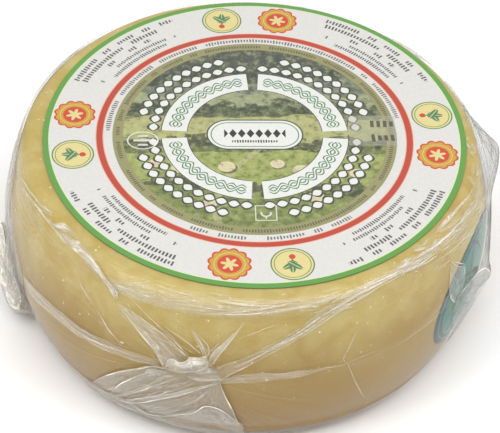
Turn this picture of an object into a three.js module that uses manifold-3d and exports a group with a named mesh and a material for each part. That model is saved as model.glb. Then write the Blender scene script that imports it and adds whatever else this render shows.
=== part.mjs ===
// A wheel of pecorino in its sealed clear bag, with a round paper label on its top face.
//
// Millimetres, +Z up. The origin is the middle of the flat underside, and -Y is the front.
// The bag is drawn tight over the cheese, so bag and cheese are one solid: the wheel, with the
// large folds of the bag standing on it. A place on the side is an azimuth in degrees, counted
// from +X towards +Y (so the front is -90), and a height above the underside.

import * as THREE from "three";
import { mergeVertices } from "three/addons/utils/BufferGeometryUtils.js";
import Module from "manifold-3d";

const wasm = await Module();
wasm.setup();

// ---- Driving dimensions ----

const wheel = {
  radius: 100, // at the widest, halfway up the side
  height: 78,
  topInset: 5.8, // how much narrower the side is under the top edge
  footInset: 4.6, // and above the foot
  topEdge: 6.9, // radius of the rounded top edge
  footEdge: 11.5, // radius of the rounded foot
  sidesRound: 90, // facets round the wheel
  waviness: 0.003, // share of the radius that the hand-turned side wanders in and out
};

const label = {
  radius: 86,
  thickness: 0.4,
  offset: [1.7, 2.6], // the label isn't quite centred on the cheese
  proud: 0.2, // how far its face stands over the cheese
  gap: 0.3, // left free below it and round it
};

// Long folds that lie on the wheel. "bow" lifts or drops the middle of the fold, in height.
const pleats = [
  { from: [-157, 75], to: [-121, 68], bow: 4, width: 5, height: 1.6 }, // left shoulder
  { from: [-120, 68], to: [-103, 50], bow: 0, width: 8, height: 3.4 }, // down to the front knot
  { from: [-153, 38], to: [-106, 46], bow: 1, width: 6, height: 2 }, // from the left ear
  { from: [-97, 46], to: [-62, 74], bow: 3, width: 5, height: 2.2 }, // up to the right
  { from: [-96, 43], to: [-66, 47], bow: 1.5, width: 4, height: 1.8 }, // along to the right
  { from: [-71, 73], to: [-19, 69], bow: 3, width: 4, height: 1.2 }, // right shoulder
  { from: [-98, 52], to: [-90, 70], bow: 0, width: 3, height: 1.6 }, // short, over the knot
  { from: [-33, 43], to: [-17, 39], bow: 3, width: 4, height: 1.6 }, // beside the right ear
  { from: [32, 74], to: [76, 60], bow: 4, width: 5, height: 1.8 }, // back, from the right ear
  { from: [76, 62], to: [84, 34], bow: 0, width: 7, height: 2.6 },
  { from: [86, 34], to: [128, 68], bow: 5, width: 5, height: 2 },
  { from: [38, 30], to: [80, 30], bow: -4, width: 5, height: 1.8 },
  { from: [122, 73], to: [168, 74], bow: 2, width: 4, height: 1.2 },
];

// Ears: the two sealed sides of the bag, which stand off the wheel as fins.
// "reach" is how far the fin stands out, at even steps from its first end.
const ears = [
  { from: [182, 75], to: [200, 8], reach: [0.4, 0.8, 0.8, 0.8, 1, 2.2, 5.4, 8.6, 6.2], thick: 4.4 },
  { from: [14, 76], to: [-18, 14], reach: [0.4, 5, 6.2, 2.6, 1.4, 1.8, 4.2, 2.4, 1], thick: 2.6 },
];

// Folded sheets of the bag that lie flat on the side, each named by its four corners.
const sheets = [
  { foot: [-127, -92], footHeight: 7, head: [-109, -96], headHeight: 42, thick: 1.2 },
  { foot: [68, 98], footHeight: 7, head: [76, 90], headHeight: 31, thick: 1.2 },
];

// The knots in which the folds meet, each a low flattened lump.
const knots = [
  { at: [-100.5, 47.5], wide: 20, tall: 8, deep: 3.4 },
  { at: [82, 33], wide: 18, tall: 9, deep: 3 },
];

// ---- Shape of the wheel ----

const radians = THREE.MathUtils.degToRad;

// Half section of the wheel, from the axis along the underside and up over the side.
function wheelProfile() {
  const { radius, height, topInset, footInset, topEdge, footEdge } = wheel;
  const footSide = radius - footInset;
  const topSide = radius - topInset;
  const bulge = radius + (footInset + topInset) / 2;
  const middle = (footEdge + height - topEdge) / 2;
  const path = new THREE.Path();
  path.moveTo(0, 0);
  path.lineTo(footSide - footEdge, 0);
  path.absarc(footSide - footEdge, footEdge, footEdge, -Math.PI / 2, 0);
  path.quadraticCurveTo(bulge, middle, topSide, height - topEdge);
  path.absarc(topSide - topEdge, height - topEdge, topEdge, 0, Math.PI / 2);
  path.lineTo(0, height);
  return path;
}

const profile = wheelProfile();
const curvePoints = 6;
const profilePoints = profile.getPoints(curvePoints);

// How far the side wanders at an azimuth, as a factor on the radius.
function wander(azimuth) {
  const a = radians(azimuth);
  return 1 + wheel.waviness * (0.6 * Math.sin(2 * a + 0.7) + 0.4 * Math.sin(3 * a + 2.1));
}

// Radius of the side at a height, before the wander.
function radiusAt(height) {
  const side = profilePoints.slice(1, -1);
  const above = side.findIndex((p) => p.y > height);
  const [a, b] = above < 1 ? side.slice(-2) : [side[above - 1], side[above]];
  const share = THREE.MathUtils.clamp((height - a.y) / (b.y - a.y), 0, 1);
  return THREE.MathUtils.lerp(a.x, b.x, share);
}

function onSide([azimuth, height]) {
  const r = radiusAt(height) * wander(azimuth);
  const a = radians(azimuth);
  return new THREE.Vector3(r * Math.cos(a), r * Math.sin(a), height);
}

// Outward direction at a place on the side.
function outward([azimuth, height]) {
  const step = 0.5;
  const up = onSide([azimuth, height + step]).sub(onSide([azimuth, height - step]));
  const along = onSide([azimuth + step, height]).sub(onSide([azimuth - step, height]));
  return along.cross(up).normalize();
}

function wheelBlank() {
  const blank = new THREE.LatheGeometry(profilePoints, wheel.sidesRound);
  blank.rotateX(Math.PI / 2);
  const place = blank.getAttribute("position");
  for (let i = 0; i < place.count; i++) {
    const x = place.getX(i);
    const y = place.getY(i);
    const factor = wander(THREE.MathUtils.radToDeg(Math.atan2(y, x)));
    place.setXY(i, x * factor, y * factor);
  }
  return blank;
}

// ---- Folds of the bag ----

// A place between two places on the side, bowed in height.
function between(from, to, share, bow = 0) {
  return [
    THREE.MathUtils.lerp(from[0], to[0], share),
    THREE.MathUtils.lerp(from[1], to[1], share) + 4 * bow * share * (1 - share),
  ];
}

// A tube whose vertices are moved, station by station, to where "placed" puts them.
// "placed" takes the share of the way along and the unit circle's two coordinates.
function bentTube(sides, steps, placed) {
  const tube = new THREE.CylinderGeometry(1, 1, 1, sides, steps);
  const place = tube.getAttribute("position");
  for (let i = 0; i < place.count; i++) {
    const share = 0.5 - place.getY(i);
    const moved = placed(share, place.getX(i), place.getZ(i));
    place.setXYZ(i, moved.x, moved.y, moved.z);
  }
  return tube;
}

// A fold that lies on the side, thickest in the middle of its length.
function pleatBlank({ from, to, bow, width, height }) {
  const sunk = 0.3; // share of the fold's height that is below the surface
  return bentTube(6, 10, (share, across, out) => {
    const here = between(from, to, share, bow);
    const next = between(from, to, share + 0.01, bow);
    const along = onSide(next).sub(onSide(here));
    const normal = outward(here);
    const sideways = new THREE.Vector3().crossVectors(normal, along).normalize();
    const swell = 0.25 + 0.75 * Math.sin(Math.PI * share);
    return onSide(here)
      .addScaledVector(sideways, (across * width * swell) / 2)
      .addScaledVector(normal, (out - sunk) * height * swell);
  });
}

// A fin that stands out from the side along a line from one place to another.
function earBlank({ from, to, reach, thick }) {
  const rooted = 3; // how deep the fin starts inside the wheel
  return bentTube(8, 18, (share, across, out) => {
    const here = between(from, to, share);
    const station = share * (reach.length - 1);
    const first = Math.min(Math.floor(station), reach.length - 2);
    const far = THREE.MathUtils.lerp(reach[first], reach[first + 1], station - first);
    const normal = outward(here);
    const a = radians(here[0]);
    const sideways = new THREE.Vector3(-Math.sin(a), Math.cos(a), 0);
    const outTo = THREE.MathUtils.lerp(-rooted, far, (out + 1) / 2);
    const ruffle = 0.8 * Math.sin(share * 17) * Math.max(0, outTo) / 6;
    return onSide(here)
      .addScaledVector(sideways, (across * thick) / 2 + ruffle)
      .addScaledVector(normal, outTo);
  });
}

// A box bent onto the side: "foot" and "head" are the azimuths of its lower and upper corners.
function sheetBlank({ foot, footHeight, head, headHeight, thick }) {
  const sheet = new THREE.BoxGeometry(1, 1, 1, 8, 6, 1);
  const place = sheet.getAttribute("position");
  const rooted = -2;
  for (let i = 0; i < place.count; i++) {
    const across = place.getX(i) + 0.5;
    const up = place.getY(i) + 0.5;
    const low = [THREE.MathUtils.lerp(...foot, across), footHeight];
    const high = [THREE.MathUtils.lerp(...head, across), headHeight];
    const here = between(low, high, up);
    const ripple = 0.2 * thick * Math.sin(across * 9 + up * 5);
    const outTo = place.getZ(i) > 0 ? thick + ripple : rooted;
    const moved = onSide(here).addScaledVector(outward(here), outTo);
    place.setXYZ(i, moved.x, moved.y, moved.z);
  }
  return sheet;
}

function knotBlank({ at, wide, tall, deep }) {
  const knot = new THREE.SphereGeometry(0.5, 12, 8);
  knot.scale(wide, tall, 2 * deep);
  const out = outward(at);
  const level = new THREE.Vector3(0, 0, 1).cross(out).normalize();
  const turned = new THREE.Matrix4().makeBasis(level, out.clone().cross(level), out);
  return knot.applyMatrix4(turned.setPosition(onSide(at)));
}

// ---- Solids ----

function solidOf(geometry) {
  const bare = geometry.clone();
  bare.deleteAttribute("normal");
  bare.deleteAttribute("uv");
  const merged = mergeVertices(bare, 1e-3);
  return new wasm.Manifold(
    new wasm.Mesh({
      numProp: 3,
      vertProperties: merged.getAttribute("position").array,
      triVerts: new Uint32Array(merged.index.array),
    }),
  );
}

function geometryOf(solid) {
  const mesh = solid.getMesh();
  const geometry = new THREE.BufferGeometry();
  geometry.setAttribute("position", new THREE.BufferAttribute(mesh.vertProperties, 3));
  geometry.setIndex(new THREE.BufferAttribute(mesh.triVerts, 1));
  geometry.computeVertexNormals();
  return geometry;
}

function labelDisc(radius, thickness) {
  const disc = new THREE.CylinderGeometry(radius, radius, thickness, wheel.sidesRound);
  disc.rotateX(Math.PI / 2);
  return disc;
}

const labelBottom = wheel.height + label.proud - label.thickness;

// The shallow round step in which the label lies.
function labelStep() {
  const depth = 4;
  const step = labelDisc(label.radius + label.gap, depth);
  step.translate(label.offset[0], label.offset[1], labelBottom - label.gap + depth / 2);
  return step;
}

function baggedWheel() {
  const folds = [
    ...pleats.map(pleatBlank),
    ...ears.map(earBlank),
    ...sheets.map(sheetBlank),
    ...knots.map(knotBlank),
  ];
  return folds
    .reduce((whole, fold) => whole.add(solidOf(fold)), solidOf(wheelBlank()))
    .subtract(solidOf(labelStep()));
}

// ---- The object ----

const cheeseInFilm = new THREE.MeshStandardMaterial({
  color: new THREE.Color().setRGB(0.78, 0.68, 0.42, THREE.SRGBColorSpace),
  roughness: 0.35,
  metalness: 0,
});

const printedPaper = new THREE.MeshStandardMaterial({
  color: new THREE.Color().setRGB(0.86, 0.84, 0.78, THREE.SRGBColorSpace),
  roughness: 0.55,
  metalness: 0,
});

const pecorino = new THREE.Group();

const bag = new THREE.Mesh(geometryOf(baggedWheel()), cheeseInFilm);
bag.name = "bagged_wheel";
pecorino.add(bag);

const paper = new THREE.Mesh(labelDisc(label.radius, label.thickness), printedPaper);
paper.name = "paper_label";
paper.position.set(label.offset[0], label.offset[1], labelBottom + label.thickness / 2);
pecorino.add(paper);

export default pecorino;
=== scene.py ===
import math
import random
from functools import partialmethod

import bmesh
import bpy
import numpy as np
from mathutils import Matrix, Vector, noise


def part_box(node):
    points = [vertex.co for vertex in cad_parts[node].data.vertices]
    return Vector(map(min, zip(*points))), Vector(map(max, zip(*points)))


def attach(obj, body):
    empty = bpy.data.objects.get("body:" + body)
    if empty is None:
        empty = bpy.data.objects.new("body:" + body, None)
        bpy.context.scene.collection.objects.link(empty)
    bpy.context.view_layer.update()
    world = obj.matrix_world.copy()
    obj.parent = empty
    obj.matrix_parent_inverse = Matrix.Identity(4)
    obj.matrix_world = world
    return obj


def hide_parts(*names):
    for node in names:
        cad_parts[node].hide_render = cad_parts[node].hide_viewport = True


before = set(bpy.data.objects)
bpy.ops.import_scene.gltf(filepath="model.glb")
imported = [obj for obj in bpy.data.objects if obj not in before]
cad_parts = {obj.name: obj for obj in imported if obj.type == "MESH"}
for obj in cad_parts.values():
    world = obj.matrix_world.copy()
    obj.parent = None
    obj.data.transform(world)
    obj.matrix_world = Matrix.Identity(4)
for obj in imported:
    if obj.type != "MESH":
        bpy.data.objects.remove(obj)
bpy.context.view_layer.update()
mm = 0.001

# A place on the wheel's side is (azimuth, height) or (azimuth, height, lift): degrees, with -90 in front
# and 0 at the right, then mm above the floor and mm off the side.
wheel = {
    "radius": 100.0,  # at the belly of the side
    "height": 78.0,
    "topInset": 5.8,
    "footInset": 4.6,
    "topEdge": 6.9,
    "footEdge": 11.5,
}
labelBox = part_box("paper_label")
labelCentre = (labelBox[0] + labelBox[1]) / 2


def wheelOutline(out, underRings, sideRings, topRings):
    # half section from the axis underneath to the axis on top: (radius, height) in mm, pushed out by "out"
    topSide = wheel["radius"] - wheel["topInset"]
    footSide = wheel["radius"] - wheel["footInset"]
    belly = wheel["radius"] + (wheel["topInset"] + wheel["footInset"]) / 2
    foot, top, height = wheel["footEdge"], wheel["topEdge"], wheel["height"]
    middle = (foot + height - top) / 2
    edgeRings = max(4, sideRings // 4)
    points = [((footSide - foot) * i / underRings, -out) for i in range(underRings)]
    for i in range(edgeRings):
        a = math.pi / 2 * i / edgeRings
        points.append((footSide - foot + (foot + out) * math.sin(a), foot - (foot + out) * math.cos(a)))
    for i in range(sideRings):
        t = i / sideRings
        r = (1 - t) ** 2 * footSide + 2 * t * (1 - t) * belly + t * t * topSide
        z = (1 - t) ** 2 * foot + 2 * t * (1 - t) * middle + t * t * (height - top)
        points.append((r + out, z))
    for i in range(edgeRings):
        a = math.pi / 2 * i / edgeRings
        points.append((topSide - top + (top + out) * math.cos(a), height - top + (top + out) * math.sin(a)))
    points += [((topSide - top) * (1 - i / topRings), height + out) for i in range(topRings + 1)]
    return points


sideCurve = np.array([p for p in wheelOutline(0, 40, 160, 40) if p[0] > 80])
sideWay = np.gradient(sideCurve, axis=0)
sideWay /= np.linalg.norm(sideWay, axis=1, keepdims=True)


def onWheel(azimuth, height, lift=0.0):
    # a place on the side as a point in metres
    h = min(height, wheel["height"] - 0.02)
    a = math.radians(azimuth)
    r = np.interp(h, sideCurve[:, 1], sideCurve[:, 0]) + lift * np.interp(h, sideCurve[:, 1], sideWay[:, 1])
    z = h - lift * np.interp(h, sideCurve[:, 1], sideWay[:, 0])
    return Vector((r * math.cos(a), r * math.sin(a), z)) * mm


def newPiece(name, bm, material):
    mesh = bpy.data.meshes.new(name)
    bm.to_mesh(mesh)
    bm.free()
    mesh.materials.append(material)
    mesh.shade_smooth()
    piece = bpy.data.objects.new(name, mesh)
    bpy.context.scene.collection.objects.link(piece)
    return piece


def asWheelPart(piece):
    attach(piece, "root")
    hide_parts("bagged_wheel")
    return piece


def wrapWheel(outline, around):
    # a grid wrapped round the axis, one row of it for each point of the outline
    rows = len(outline) - 1
    bm = bmesh.new()
    bmesh.ops.create_grid(bm, x_segments=around, y_segments=rows, size=0.5)
    for v in bm.verts:
        angle = (v.co.x + 0.5) * math.tau
        r, z = outline[round((v.co.y + 0.5) * rows)]
        v.co = (r * math.cos(angle) * mm, r * math.sin(angle) * mm, z * mm)
    bmesh.ops.remove_doubles(bm, verts=bm.verts, dist=1e-7)
    bmesh.ops.recalc_face_normals(bm, faces=bm.faces)
    return bm


# Material helpers. A Wire is one number in a node tree, so that a mask can be written as a sum.

class Wire:
    def __init__(self, tree, socket):
        self.tree, self.socket = tree, socket

    def math(self, operation, *others):
        node = self.tree.nodes.new("ShaderNodeMath")
        node.operation = operation
        for slot, value in zip(node.inputs, (self, *others)):
            plug(self.tree, value, slot)
        return Wire(self.tree, node.outputs[0])

    def flip(self):
        return self.math("MULTIPLY_ADD", -1.0, 1.0)

    def ramp(self, low, high, start=0.0, end=1.0):  # a smooth step between two values
        node = self.tree.nodes.new("ShaderNodeMapRange")
        node.interpolation_type = "SMOOTHSTEP"
        for slot, value in zip(node.inputs[:5], (self, low, high, start, end)):
            plug(self.tree, value, slot)
        return Wire(self.tree, node.outputs[0])

    def chance(self, seed):  # a steady random number for each whole number
        node = self.tree.nodes.new("ShaderNodeTexWhiteNoise")
        node.noise_dimensions = "1D"
        plug(self.tree, self + seed, node.inputs["W"])
        return Wire(self.tree, node.outputs["Value"])


wireOperations = {
    "__add__": "ADD", "__sub__": "SUBTRACT", "__mul__": "MULTIPLY", "__truediv__": "DIVIDE",
    "__abs__": "ABSOLUTE", "floor": "FLOOR", "fract": "FRACT", "sin": "SINE", "cos": "COSINE",
    "least": "MINIMUM", "most": "MAXIMUM", "under": "LESS_THAN", "over": "GREATER_THAN",
    "near": "COMPARE", "wrap": "FLOORED_MODULO",
}
for name, operation in wireOperations.items():
    setattr(Wire, name, partialmethod(Wire.math, operation))


def plug(tree, value, slot):
    if isinstance(value, Wire):
        tree.links.new(value.socket, slot)
    elif isinstance(value, bpy.types.NodeSocket):
        tree.links.new(value, slot)
    else:
        slot.default_value = value


def hypot(x, y):
    return (x * x + y * y).math("SQRT")


def cloud(tree, point, scale, detail=2.0, roughness=0.5, twist=0.0):
    node = tree.nodes.new("ShaderNodeTexNoise")
    for name, value in (("Vector", point), ("Scale", scale), ("Detail", detail),
                        ("Roughness", roughness), ("Distortion", twist)):
        plug(tree, value, node.inputs[name])
    return Wire(tree, node.outputs[0])


def joined(tree, x, y, z=0.0):
    node = tree.nodes.new("ShaderNodeCombineXYZ")
    for slot, value in zip(node.inputs, (x, y, z)):
        plug(tree, value, slot)
    return node.outputs[0]


def parted(tree, vector):
    node = tree.nodes.new("ShaderNodeSeparateXYZ")
    plug(tree, vector, node.inputs[0])
    return [Wire(tree, slot) for slot in node.outputs]


def srgb(r, g, b):  # a screen colour, 0 to 255, as the linear one that shaders take
    def linear(c):
        c /= 255
        return c / 12.92 if c <= 0.04045 else ((c + 0.055) / 1.055) ** 2.4
    return (linear(r), linear(g), linear(b), 1.0)


class Paint:  # colours laid over each other, each through its mask
    def __init__(self, tree, colour):
        self.tree, self.colour = tree, colour

    def over(self, mask, colour):
        node = self.tree.nodes.new("ShaderNodeMix")
        node.data_type = "RGBA"
        for slot, value in ((0, mask), (6, self.colour), (7, colour)):
            plug(self.tree, value, node.inputs[slot])
        self.colour = node.outputs[2]
        return self


def newMaterial(name):
    material = bpy.data.materials.new(name)
    material.use_nodes = True
    return material, material.node_tree, material.node_tree.nodes["Principled BSDF"]


def addBump(tree, height, strength, distance):
    node = tree.nodes.new("ShaderNodeBump")
    for name, value in (("Strength", strength), ("Distance", distance), ("Height", height)):
        plug(tree, value, node.inputs[name])
    return node.outputs[0]


def newGroup(name, inputs, outputs):
    tree = bpy.data.node_groups.new(name, "ShaderNodeTree")
    for title, kind in inputs:
        tree.interface.new_socket(title, in_out="INPUT", socket_type="NodeSocket" + kind)
    for title in outputs:
        tree.interface.new_socket(title, in_out="OUTPUT", socket_type="NodeSocketFloat")
    return tree, tree.nodes.new("NodeGroupInput").outputs, tree.nodes.new("NodeGroupOutput").inputs


def placed(tree, group, **values):
    node = tree.nodes.new("ShaderNodeGroup")
    node.node_tree = group
    for name, value in values.items():
        plug(tree, value, node.inputs[name])
    return {slot.name: Wire(tree, slot) for slot in node.outputs}


def aroundWheelGroup():
    # the way round the side from azimuth 0 and the height, both in mm
    tree, given, made = newGroup("aroundWheel", [("Point", "Vector")], ["Around", "Height"])
    x, y, z = parted(tree, given["Point"])
    plug(tree, y.math("ARCTAN2", x) * wheel["radius"], made["Around"])
    plug(tree, z * 1000, made["Height"])
    return tree


def mottleGroup():
    # slow blotches and a grain in them, both 0 to 1
    tree, given, made = newGroup("mottle", [("Point", "Vector"), ("Scale", "Float")], ["Blotches", "Grain"])
    size = Wire(tree, given["Scale"])
    plug(tree, cloud(tree, given["Point"], size, 3.0, 0.55, 0.6).ramp(0.3, 0.72), made["Blotches"])
    plug(tree, cloud(tree, given["Point"], size * 14, 4.0, 0.6), made["Grain"])
    return tree


aroundWheel, mottle = aroundWheelGroup(), mottleGroup()
print("helpers ready")

view = {
    "elevation": 42.02,  # degrees above the label
    "distance": 813.6,  # mm from the middle of the label
    "pan": 0.04,
    "tilt": -2.34,
    "roll": 2.46,
    "lens": 144.0,
}


def addCamera():
    data = bpy.data.cameras.new("camera")
    data.lens, data.sensor_width = view["lens"], 36.0
    data.clip_start, data.clip_end = 0.05, 20
    camera = bpy.data.objects.new("camera", data)
    bpy.context.scene.collection.objects.link(camera)
    up = math.radians(view["elevation"])
    aim = Vector((labelCentre.x, labelCentre.y, wheel["height"] * mm))
    place = aim + Vector((0, -math.cos(up), math.sin(up))) * view["distance"] * mm
    turn = Matrix.Rotation(math.pi / 2 - up, 4, "X")
    for name, axis in (("pan", "Y"), ("tilt", "X"), ("roll", "Z")):
        turn = turn @ Matrix.Rotation(math.radians(view[name]), 4, axis)
    camera.matrix_world = Matrix.Translation(place) @ turn
    bpy.context.scene.camera = camera


studio = {
    "sky": 0.56,
    "floor": (0.92, 0.92, 0.92, 1),
    "floorRoughness": 0.9,
    "floorShine": 0.2,
    "floorRadius": 6,  # m
    "floorDrop": 0.0003,
    "lamps": {  # place, aim, size in m and watts
        "overhead": ((0.0, -0.3, 1.4), (0, 0, 0), (2.0, 0.7), 15),
        "front": ((0.1, -1.6, 0.5), (0, 0, 0.04), (1.6, 0.5), 1.5),
        "left": ((-1.2, -0.5, 0.65), (0, 0, 0.04), (0.9, 0.9), 4),
        "right": ((1.2, 0.2, 0.65), (0, 0, 0.04), (0.9, 0.9), 4),
        "sparkLeft": ((-0.5, -0.5, 1.0), (0, 0, 0.04), (0.16, 0.16), 0.7),
        "sparkRight": ((0.55, -0.35, 1.0), (0, 0, 0.04), (0.16, 0.16), 0.7),
    },
}


def addStudio():
    scene = bpy.context.scene
    scene.view_settings.view_transform = "Standard"
    scene.cycles.transparent_max_bounces = 48
    world = bpy.data.worlds.new("studio")
    scene.world = world
    world.use_nodes = True
    sky = world.node_tree.nodes["Background"]
    sky.inputs["Color"].default_value = (1, 1, 1, 1)
    sky.inputs["Strength"].default_value = studio["sky"]
    for name, (place, aim, size, watts) in studio["lamps"].items():
        data = bpy.data.lights.new(name, "AREA")
        data.shape, data.size, data.size_y, data.energy = "RECTANGLE", size[0], size[1], watts
        lamp = bpy.data.objects.new(name, data)
        lamp.location = place
        lamp.rotation_euler = (Vector(aim) - Vector(place)).to_track_quat("-Z", "Y").to_euler()
        scene.collection.objects.link(lamp)


def addFloor():
    material, tree, shader = newMaterial("paleFloor")
    shader.inputs["Roughness"].default_value = studio["floorRoughness"]
    shader.inputs["Specular IOR Level"].default_value = studio["floorShine"]
    shader.inputs["Base Color"].default_value = studio["floor"]
    bm = bmesh.new()
    bmesh.ops.create_circle(bm, cap_ends=True, segments=96, radius=studio["floorRadius"])
    bmesh.ops.translate(bm, verts=bm.verts, vec=(0, 0, -studio["floorDrop"]))
    newPiece("floor", bm, material)


cheese = {
    "under": 0.55,  # mm that the rind lies below the film
    "rings": (10, 44, 12),
    "around": 360,
    "sway": 0.25,  # mm of slow unevenness
    "colour": srgb(177, 155, 80),
    "deep": srgb(166, 139, 66),
    "bloom": srgb(202, 192, 140),
    # painted shade: the side turns browner and darker towards the foot, where less light falls
    "low": srgb(122, 82, 0),
    "fleck": srgb(226, 222, 200),
    "shine": 0.25,
    "glow": 0.12,  # share of light that passes under the surface, and how far in m and for each colour
    "glowDepth": 0.004,
    "glowReach": (1.0, 0.7, 0.35),
}
stamp = {
    "azimuth": -20.0,
    "height": 37.8,
    "reach": (35.0, 24.5),  # mm to its edge, sideways and upwards
    "ink": srgb(10, 108, 94),
    "line": srgb(0, 44, 48),
}


def rindMaterial():
    material, tree, shader = newMaterial("paleRind")
    point = tree.nodes.new("ShaderNodeTexCoord").outputs["Object"]
    side = placed(tree, aroundWheel, Point=point)
    broad = placed(tree, mottle, Point=point, Scale=22.0)
    small = placed(tree, mottle, Point=point, Scale=75.0)
    height = side["Height"]
    paint = Paint(tree, cheese["colour"])
    paint.over(broad["Blotches"] * 0.6, cheese["deep"])
    # painted shade: browner and darker from mid-height down to the foot
    paint.over(height.ramp(70, 46) * 0.5 + height.ramp(46, 4) * 0.27, cheese["low"])
    paint.over(height.ramp(30, 78) * small["Blotches"] * 0.4, cheese["bloom"])
    paint.over(small["Grain"].ramp(0.6, 0.75) * 0.35, cheese["bloom"])
    paint.over(small["Grain"].ramp(0.4, 0.28) * 0.35, cheese["deep"])
    paint.over(cloud(tree, point, 520, 2.0).ramp(0.7, 0.76) * height.ramp(10, 60), cheese["fleck"])
    # the oval stamp: a worn field of ink, a double rim and three curved leaves
    x = (side["Around"] - math.radians(stamp["azimuth"]) * wheel["radius"]) / stamp["reach"][0]
    y = (height - stamp["height"]) / stamp["reach"][1]
    reach = hypot(x, y)
    worn = (broad["Grain"] + small["Blotches"] * 0.3).ramp(0.34, 0.7)
    paint.over(reach.ramp(1.02, 0.97) * (worn * 0.45 + 0.55), stamp["ink"])
    lines = reach.near(0.965, 0.04).most(reach.near(0.87, 0.025))
    for turn in (-0.9, 0.0, 0.9):
        across = x * math.cos(turn) + y * math.sin(turn)
        up = y * math.cos(turn) - x * math.sin(turn) - 0.35
        lines = lines.most((abs(across) + up * up * 0.9).near(0.2, 0.024))
    paint.over(lines * (worn * 0.25 + 0.75), stamp["line"])
    plug(tree, paint.colour, shader.inputs["Base Color"])
    plug(tree, small["Grain"].ramp(0, 1, 0.42, 0.62), shader.inputs["Roughness"])
    for name, key in (("Specular IOR Level", "shine"), ("Subsurface Weight", "glow"),
                      ("Subsurface Radius", "glowReach"), ("Subsurface Scale", "glowDepth")):
        shader.inputs[name].default_value = cheese[key]
    plug(tree, addBump(tree, small["Grain"] + broad["Blotches"] * 2, 0.35, 0.0006), shader.inputs["Normal"])
    return material


def addCheese():
    bm = wrapWheel(wheelOutline(-cheese["under"], *cheese["rings"]), cheese["around"])
    for v in bm.verts:
        sway = noise.noise(v.co * 22) + 0.4 * noise.noise(v.co * 60)
        v.co += v.co.normalized() * sway * cheese["sway"] * mm
        v.co.z = min(max(v.co.z, 0.0007), (wheel["height"] - 0.4) * mm)
    asWheelPart(newPiece("cheeseWheel", bm, rindMaterial()))


labelPrint = {
    "unit": 0.085,  # m, the length that all the numbers below are in
    "turn": 3.5,  # degrees
    "paper": srgb(206, 204, 200),
    "rings": [  # inner and outer radius, colour
        (0.984, 1.1, srgb(88, 144, 58)),
        (0.976, 0.984, srgb(202, 212, 180)),
        (0.7225, 0.7605, srgb(214, 160, 130)),
        (0.727, 0.756, srgb(176, 58, 40)),
        (0.63, 0.68, srgb(140, 136, 92)),
    ],
    "ink": srgb(36, 36, 36),
    "red": srgb(194, 60, 28),
    "yellow": srgb(188, 148, 48),
    "green": srgb(70, 118, 78),
    "cream": srgb(208, 196, 134),
    "white": srgb(214, 215, 210),
    "dark": srgb(58, 62, 50),
    # rows of small print in each quarter: radius, half its angle in degrees, size
    "rows": [(0.948, 20.5, 0.028), (0.908, 20, 0.029), (0.868, 9.5, 0.027), (0.829, 18, 0.022),
             (0.795, 13, 0.022)],
    "badgeReach": 0.875,
    "badgeTurn": 9.3,
    "badgeRadius": 0.1,
}

pasture = {
    # each layer's crest height, how much it rolls, how fast, and its colour; far ones first
    "layers": [
        (0.42, 0.10, 3.0, srgb(104, 112, 94)),
        (0.30, 0.07, 4.0, srgb(140, 146, 112)),
        (0.20, 0.06, 5.0, srgb(82, 90, 60)),
        (0.12, 0.05, 3.5, srgb(160, 162, 104)),
        (-0.06, 0.05, 4.5, srgb(98, 106, 60)),
        (-0.13, 0.05, 2.5, srgb(142, 152, 80)),
        (-0.36, 0.06, 3.0, srgb(112, 124, 62)),
    ],
    "far": srgb(70, 76, 66),
    "woods": srgb(46, 52, 40),
    "path": srgb(176, 172, 130),
    # round bales: place and radius
    "bales": [(-0.47, -0.20, 0.03), (-0.36, -0.235, 0.034), (-0.14, -0.225, 0.036), (0.10, -0.205, 0.03),
              (0.21, -0.25, 0.036), (-0.22, -0.47, 0.03), (0.27, -0.43, 0.034), (0.47, -0.27, 0.03)],
    "straw": srgb(206, 194, 158),
}


def smallPrint(along, across, size, seed):
    # rows of ticks in word-like groups, which say nothing
    tick = along / (size * 0.62)
    gap = (along / (size * 1.86)).floor().chance(seed + 0.3)
    tall = tick.floor().chance(seed) * 0.24 + 0.3
    lean = (tick.floor().chance(seed + 0.6) - 0.5) * 0.3
    return (tick + across / size * lean).fract().under(0.56) * abs(across / size).under(tall) * gap.over(0.16)


def polar(reach, degrees):
    return reach * math.cos(math.radians(degrees)), reach * math.sin(math.radians(degrees))


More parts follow.
